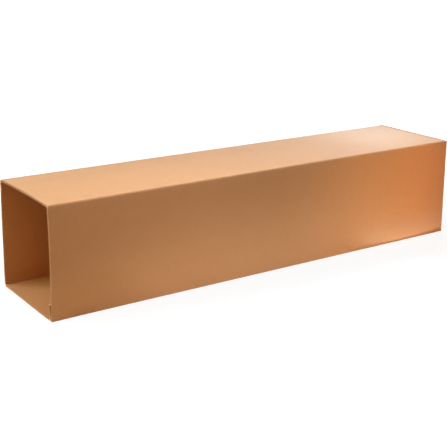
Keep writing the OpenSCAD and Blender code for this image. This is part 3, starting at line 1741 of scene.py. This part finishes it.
                # Near the open edge the glue is a dark film on the tab: painted shade in the gap of the
                # joint
                shade_film = tab_face - glue.shade_film
                grid.outer[line, row] = (x, shade_film * torn + (panel_face - glue.soak) * (1 - torn), z)
                grid.inner[line, row] = (x, tab_face + glue.soak, z)
                grid.flat[line, row] = (z, x)
        finish = GlueWithPaintedShade().material()
        return BoardMesh(grid, self.grade).make_object("glue_bead", [finish] * len(Face))

    def _joint_faces(self, x: float, z: float) -> tuple[float, float]:
        """Place the two faces that the glue joins.

        Args:
            x: Place along the box.
            z: Height above the ground.

        Returns:
            Places across the box of the front panel's inner skin and of the tab's outer skin.
        """
        sizes = self.sizes
        distance = x - sizes.open_x
        front_share = (sizes.height - sizes.bend_radius - z) / sizes.front_flat
        tab_share = 1 - (z - sizes.bend_radius) / sizes.tab_flat
        front_push = self.spring.push(Panel.FRONT, front_share, distance)
        panel_face = -sizes.half_width + sizes.board - front_push
        return panel_face, sizes.tab_y - self._tab_push(tab_share, distance)


@dataclass
class OuterFlap:
    """An outer flap with the crease that it turns on.

    Attributes:
        sizes: Sizes of the carton.
        grade: Make-up of the board.
        side: Which of the two flaps it is.
        span_cells: Even cells across the flap, from its lower to its upper end.
        reach_cells: Even cells from the crease to the free edge.
        turn_cells: Cells round the bend of the crease.
        run_in_cells: Cells in each straight end of the crease.
        crease_bite: Inside radius of the crease's bend.
        cup: Outward bow in the middle of the free edge.
        crease_spread: Distance over which the mark of the fold fades.
        heights: Lines across the flap, as heights above its lower end.
        rows: Rows of the flap, as distances from its crease.
    """

    sizes: CartonSizes
    grade: BoardGrade
    side: EndSide
    span_cells: int = 14
    reach_cells: int = 12
    turn_cells: int = 8
    run_in_cells: int = 4
    crease_bite: float = 0.8 * MM
    cup: float = 0.5 * MM
    crease_spread: float = 6 * MM
    heights: list[float] = field(init=False)
    rows: list[float] = field(init=False)

    def __post_init__(self) -> None:
        """Lay out the flap."""
        sizes, corner_lines = self.sizes, self.grade.corner_lines
        self.heights = marks(sizes.flap_high - sizes.flap_low, self.span_cells, corner_lines, corner_lines)
        self.rows = marks(self._crease_end - sizes.flap_free, self.reach_cells, tail=self.grade.cut_rows)

    @property
    def _crease_end(self) -> float:
        """Distance from the middle at which the crease ends and the flat of the flap begins."""
        return self.sizes.hinge_y - self.sizes.crease_reach

    def build(self, finishes: BoardFinishes, flutes: FluteMedium) -> None:
        """Make the flap's pieces: hang the flat and its flutes on its body, and lay the crease across its
        fold, hung on no body.

        Args:
            finishes: Materials of the board.
            flutes: Maker of the fluted sheet.
        """
        sizes, body = self.sizes, self.side.body
        mesh = BoardMesh(self._board_grid(), self.grade, self._hollow)
        board = mesh.make_object(f"{body}_board", finishes.for_board())
        medium = flutes.sweep(f"{body}_flutes", mesh.flute_lines)
        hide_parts(body)
        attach(board, body)
        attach(medium, body)
        crease_mesh = BoardMesh(self._crease_grid(), self.grade)
        crease = crease_mesh.make_object(f"{body}_crease", finishes.for_board())
        half = sizes.board / 2
        middle = Vector((sizes.hinge_x, self.side.value * sizes.hinge_y, sizes.height / 2))
        outward = Vector((half, -self.side.value * half, 0.0))
        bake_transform(crease)

    def _board_grid(self) -> SheetGrid:
        """Lay the flat of the flap across the end of the box.

        Returns:
            The points and cells of the flap.
        """
        sizes = self.sizes
        grid = SheetGrid.empty(len(self.heights), len(self.rows))
        for line, height in enumerate(self.heights):
            bow = math.sin(math.pi * height / self.heights[-1])
            for row, distance in enumerate(self.rows):
                lift = self.cup * bow * (distance / self.rows[-1]) ** 2
                run = sizes.crease_reach + distance
                y, z = self.side.value * (self._crease_end - distance), sizes.flap_low + height
                grid.outer[line, row] = (sizes.end_x + lift, y, z)
                grid.inner[line, row] = (sizes.end_x + lift - sizes.board, y, z)
                grid.flat[line, row] = (height, run)
                grid.crease[line, row] = fold_mark(run, self.crease_spread)
        return grid

    def _hollow(self, side: Side, line: int, row: int) -> float:
        """Give the depth of the hollow in one side of a cell.

        Args:
            side: The side.
            line: Line of the cell.
            row: Row of the cell.

        Returns:
            The depth, or 0 where the wall is closed.
        """
        if side is Side.HIGH_ROW:
            last_line = len(self.heights) - 2
            return self.grade.hollow if 0 < line < last_line else 0.0
        if side is Side.LOW_ROW:
            return 0.0
        cells_before_cut = len(self.rows) - 1 - len(self.grade.cut_rows)
        return self.grade.groove if 0 < row < cells_before_cut else 0.0

    def _crease_grid(self) -> SheetGrid:
        """Bend the board round the turning line, from the panel to the flap.

        Returns:
            The points and cells of the crease.
        """
        sizes = self.sizes
        outer, inner = self._crease_paths()
        grid = SheetGrid.empty(len(self.heights), len(outer))
        steps = [abs(b - a) for a, b in zip(outer, outer[1:])]
        runs = np.cumsum([0.0, *steps]) - sum(steps) / 2
        for line, height in enumerate(self.heights):
            z = sizes.flap_low + height
            for row, (far, near) in enumerate(zip(outer, inner)):
                for points, place in ((grid.outer, far), (grid.inner, near)):
                    points[line, row] = (
                        sizes.hinge_x + place.real,
                        self.side.value * (sizes.hinge_y - place.imag),
                        z,
                    )
                grid.flat[line, row] = (height, runs[row])
                grid.crease[line, row] = fold_mark(runs[row], self.crease_spread)
        return grid

    def _crease_paths(self) -> tuple[list[complex], list[complex]]:
        """Draw the two skins of the crease in plan, from the turning line, as along + inwards * 1j.

        Returns:
            The outer and the inner path, with as many points each.
        """
        half, reach, bite = self.sizes.board / 2, self.sizes.crease_reach, self.crease_bite
        corner = complex(-half - bite, half + bite)
        outer, inner = [], []
        for share in np.linspace(0, 1, self.run_in_cells, endpoint=False):
            outer.append(complex(-reach * (1 - share), -half))
            inner.append(complex(-reach + (reach - half - bite) * share, half))
        for turn in np.linspace(-math.pi / 2, 0, self.turn_cells + 1):
            outer.append(half * cmath.exp(1j * turn))
            inner.append(corner + bite * cmath.exp(1j * turn))
        outer += [complex(half, -place.real) for place in reversed(outer[: self.run_in_cells])]
        inner += [complex(-half, -place.real) for place in reversed(inner[: self.run_in_cells])]
        return outer, inner


class LampShape(Enum):
    """Outline of a lamp's face."""

    RECTANGLE = "RECTANGLE"
    ELLIPSE = "ELLIPSE"


@dataclass(frozen=True)
class SoftBox:
    """A soft lamp of the studio.

    Attributes:
        name: Name of the lamp.
        place: Where it hangs.
        aim: Point that it faces.
        width: Width of its face.
        height: Height of its face.
        watts: Its power.
        colour: Its linear colour.
        spread: Angle of its beam, in degrees.
        shape: Outline of its face.
    """

    name: str
    place: tuple[float, float, float]
    aim: tuple[float, float, float]
    width: float
    height: float
    watts: float
    colour: tuple[float, float, float] = (1.0, 1.0, 1.0)
    spread: float = 180.0
    shape: LampShape = LampShape.RECTANGLE

    def hang(self) -> bpy.types.Object:
        """Make the lamp.

        Returns:
            The new object, linked to the scene.
        """
        lamp = bpy.data.lights.new(self.name, "AREA")
        lamp.shape = self.shape.value
        lamp.size = self.width
        lamp.size_y = self.height
        lamp.energy = self.watts
        lamp.color = self.colour
        lamp.spread = math.radians(self.spread)
        made = bpy.data.objects.new(self.name, lamp)
        made.visible_camera = False
        made.location = self.place
        facing = Vector(self.aim) - Vector(self.place)
        made.rotation_euler = facing.to_track_quat("-Z", "Y").to_euler()
        bpy.context.scene.collection.objects.link(made)
        return made


@dataclass(frozen=True)
class PhotoCamera:
    """The camera of the photograph, worked out from the edges of the box in it.

    Attributes:
        eye: Where it stands.
        azimuth: Turn of its view from +Y towards +X, in degrees.
        elevation: Fall of its view below the horizon, in degrees.
        roll: Turn of its frame, in degrees.
        focal_pixels: Focal length in pixels of the photograph.
        rise_pixels: Height of the lens's axis above the middle of the photograph.
        frame_pixels: Width of the photograph.
        sensor: Width of the sensor in millimetres.
    """

    eye: tuple[float, float, float] = (-1.2017, -1.6724, 0.7158)
    azimuth: float = 34.47
    elevation: float = 13.76
    roll: float = 0.53
    focal_pixels: float = 974.2
    rise_pixels: float = 60.0
    frame_pixels: float = 447.0
    sensor: float = 36.0

    def place(self) -> bpy.types.Object:
        """Make the camera and use it for the scene.

        Returns:
            The new object, linked to the scene.
        """
        data = bpy.data.cameras.new("photo_camera")
        data.sensor_width = self.sensor
        data.lens = self.focal_pixels / self.frame_pixels * self.sensor
        data.shift_y = -self.rise_pixels / self.frame_pixels
        made = bpy.data.objects.new("photo_camera", data)
        turn, fall, roll = (math.radians(angle) for angle in (self.azimuth, self.elevation, self.roll))
        look = Vector((math.sin(turn) * math.cos(fall), math.cos(turn) * math.cos(fall), -math.sin(fall)))
        level = look.cross(Vector((0.0, 0.0, 1.0))).normalized()
        upright = level.cross(look)
        right = level * math.cos(roll) + upright * math.sin(roll)
        up = upright * math.cos(roll) - level * math.sin(roll)
        made.matrix_world = Matrix.Translation(self.eye) @ Matrix((right, up, -look)).transposed().to_4x4()
        bpy.context.scene.collection.objects.link(made)
        bpy.context.scene.camera = made
        return made


@dataclass(frozen=True)
class Studio:
    """The pale floor, the soft lamps and the camera.

    Attributes:
        floor_half: Half of the floor's width, which fills the frame of the photograph.
        floor_colour: Colour by which the floor throws light back on the box.
        floor_seen: Colour of the floor as the camera sees it, which takes the shadow.
        floor_glow: Glow that is added to that colour beside the box.
        floor_white: Glow that is added far from the box, just past white.
        floor_near: How much each direction counts in the distance from the box.
        floor_white_from: Distance at which the glow starts to rise.
        floor_white_at: Distance at which it has risen in full.
        sky_strength: Strength of the light from all round.
        sky_colour: Colour of that light.
        lamps: The soft lamps.
    """

    floor_half: float = 8.0
    floor_colour: Colour = linear(242, 222, 196)
    floor_seen: Colour = linear(112, 122, 136)
    floor_glow: Colour = linear(240, 240, 240)
    floor_white: Colour = (1.05, 1.05, 1.05, 1.0)
    floor_near: tuple[float, float, float] = (0.4, 1.0, 1.0)
    floor_white_from: float = 0.22
    floor_white_at: float = 0.45
    sky_strength: float = 0.03
    sky_colour: Colour = WHITE
    lamps: tuple[SoftBox, ...] = (
        SoftBox(
            "key", place=(-1.62, 1.18, 1.9), aim=(-0.1, 0.0, 0.1),
            width=0.5, height=0.5, watts=26.0, colour=(0.83, 0.92, 1.0),
        ),
        SoftBox(
            "back_right", place=(1.6, 1.6, 1.2), aim=(0.2, 0.0, 0.2),
            width=1.0, height=1.0, watts=31.1, colour=(1.0, 0.89, 0.78),
        ),
        SoftBox(
            "mouth_fill", place=(-2.0, 0.25, 0.8), aim=(-0.45, 0.0, 0.06),
            width=0.5, height=0.5, watts=0.9, colour=(1.0, 0.96, 0.68), spread=35.0,
        ),
        SoftBox(
            "front_strip", place=(-0.25, -0.165, 0.62), aim=(-0.25, -0.165, 0.0),
            width=0.8, height=0.06, watts=1.51, colour=(1.0, 0.85, 0.68),
        ),
        SoftBox(
            "end_strip", place=(0.42, -0.18, 0.5), aim=(0.42, -0.15, 0.0),
            width=0.25, height=0.06, watts=0.22, colour=(1.0, 0.8, 0.6),
        ),
        SoftBox(
            "front_fill", place=(-1.5, -2.2, 1.0), aim=(-0.1, 0.0, 0.1),
            width=1.2, height=1.0, watts=8.2, colour=(1.0, 0.51, 0.14),
        ),
        SoftBox(
            "low_strip", place=(-0.02, -0.27, 0.02), aim=(-0.02, -0.112, 0.03),
            width=0.7, height=0.03, watts=0.187, colour=(1.0, 0.99, 0.9),
        ),
        SoftBox(
            "floor_bounce", place=(0.385, -0.14, 0.004), aim=(0.385, -0.14, 1.0),
            width=0.3, height=0.055, watts=0.04, colour=(0.76, 0.96, 1.0), shape=LampShape.ELLIPSE,
        ),
        SoftBox(
            "warm_glow", place=(0.33, -0.9, 0.35), aim=(0.33, -0.112, 0.13),
            width=0.3, height=0.3, watts=0.111, colour=(1.0, 0.52, 0.15), spread=30.0,
        ),
        SoftBox(
            "end_glow", place=(0.52, -0.8, 0.25), aim=(0.46, -0.112, 0.12),
            width=0.15, height=0.35, watts=0.045, colour=(1.0, 0.28, 0.01), spread=25.0,
        ),
        SoftBox(
            "top_patch", place=(0.43, 0.03, 0.42), aim=(0.43, 0.03, 0.22),
            width=0.12, height=0.12, watts=0.48, colour=(0.32, 0.61, 1.0),
        ),
    )

    def build(self) -> None:
        """Set up the studio."""
        self._make_floor()
        self._make_sky()
        for lamp in self.lamps:
            lamp.hang()
        PhotoCamera().place()
        bpy.context.scene.view_settings.view_transform = "Standard"

    def _make_floor(self) -> None:
        """Make the floor."""
        half = self.floor_half
        corners = [(-half, -half, 0), (half, -half, 0), (half, half, 0), (-half, half, 0)]
        mesh = bpy.data.meshes.new("floor")
        mesh.from_pydata(corners, [], [(0, 1, 2, 3)])
        mesh.materials.append(self._floor_material())
        floor = bpy.data.objects.new("floor", mesh)
        bpy.context.scene.collection.objects.link(floor)

    def _floor_material(self) -> bpy.types.Material:
        """Build the floor's finish, which looks white and still takes the box's shadow.

        Returns:
            The material.
        """
        graph = ShaderGraph("pale_floor")
        pale = graph.node("ShaderNodeBsdfDiffuse", None, {"Color": self.floor_colour})
        faint = graph.node("ShaderNodeBsdfDiffuse", None, {"Color": self.floor_seen})
        place = graph.value("ShaderNodeTexCoord", "Object")
        round_box = graph.vector_math("MULTIPLY", Vector=place, Vector_001=self.floor_near)
        distance = graph.vector_math("LENGTH", "Value", Vector=round_box)
        far = graph.step(distance, self.floor_white_from, self.floor_white_at)
        tone = graph.mix(far, self.floor_glow, self.floor_white)
        glow = graph.node("ShaderNodeEmission", None, {"Color": tone})
        seen = graph.node("ShaderNodeAddShader", None, {"Shader": faint, "Shader_001": glow})
        sockets = {"Fac": seen_rays(graph), "Shader": pale, "Shader_001": seen}
        return graph.finish(graph.node("ShaderNodeMixShader", None, sockets))

    def _make_sky(self) -> None:
        """Make a world that lights softly and looks white."""
        world = bpy.data.worlds.new("sky")
        bpy.context.scene.world = world
        world.use_nodes = True
        graph = NodeGraph(world.node_tree)
        light = {"Color": self.sky_colour, "Strength": self.sky_strength}
        soft = graph.node("ShaderNodeBackground", None, light)
        white = graph.node("ShaderNodeBackground", None, {"Color": WHITE, "Strength": 1.0})
        sockets = {"Fac": seen_rays(graph), "Shader": soft, "Shader_001": white}
        mixed = graph.node("ShaderNodeMixShader", None, sockets)
        graph.node("ShaderNodeOutputWorld", None, {"Surface": mixed})


def seen_rays(graph: NodeGraph) -> Value:
    """Mark the rays that show the background: seen straight, mirrored or through glass.

    Args:
        graph: Tree of the background.

    Returns:
        1 for such a ray and 0 for any other.
    """
    path = graph.node("ShaderNodeLightPath")
    names = ("Is Camera Ray", "Is Glossy Ray", "Is Transmission Ray")
    rays = [Value(graph, path.outputs[name]) for name in names]
    return graph.math("MAXIMUM", graph.math("MAXIMUM", rays[0], rays[1]), rays[2])


def main() -> None:
    """Dress the carton and set up the studio."""
    logging.basicConfig(level=logging.INFO, format="%(name)s: %(message)s")
    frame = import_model()
    sizes = CartonSizes.from_frame(frame)
    grade = BoardGrade(thickness=sizes.board)
    finishes = BoardFinishes()
    flutes = FluteMedium(grade, finishes.medium)
    Carton(sizes, grade, MouthSpring()).build(finishes, flutes)
    for side in EndSide:
        OuterFlap(sizes, grade, side).build(finishes, flutes)
    Studio().build()


if __name__ == "__main__":
    main()
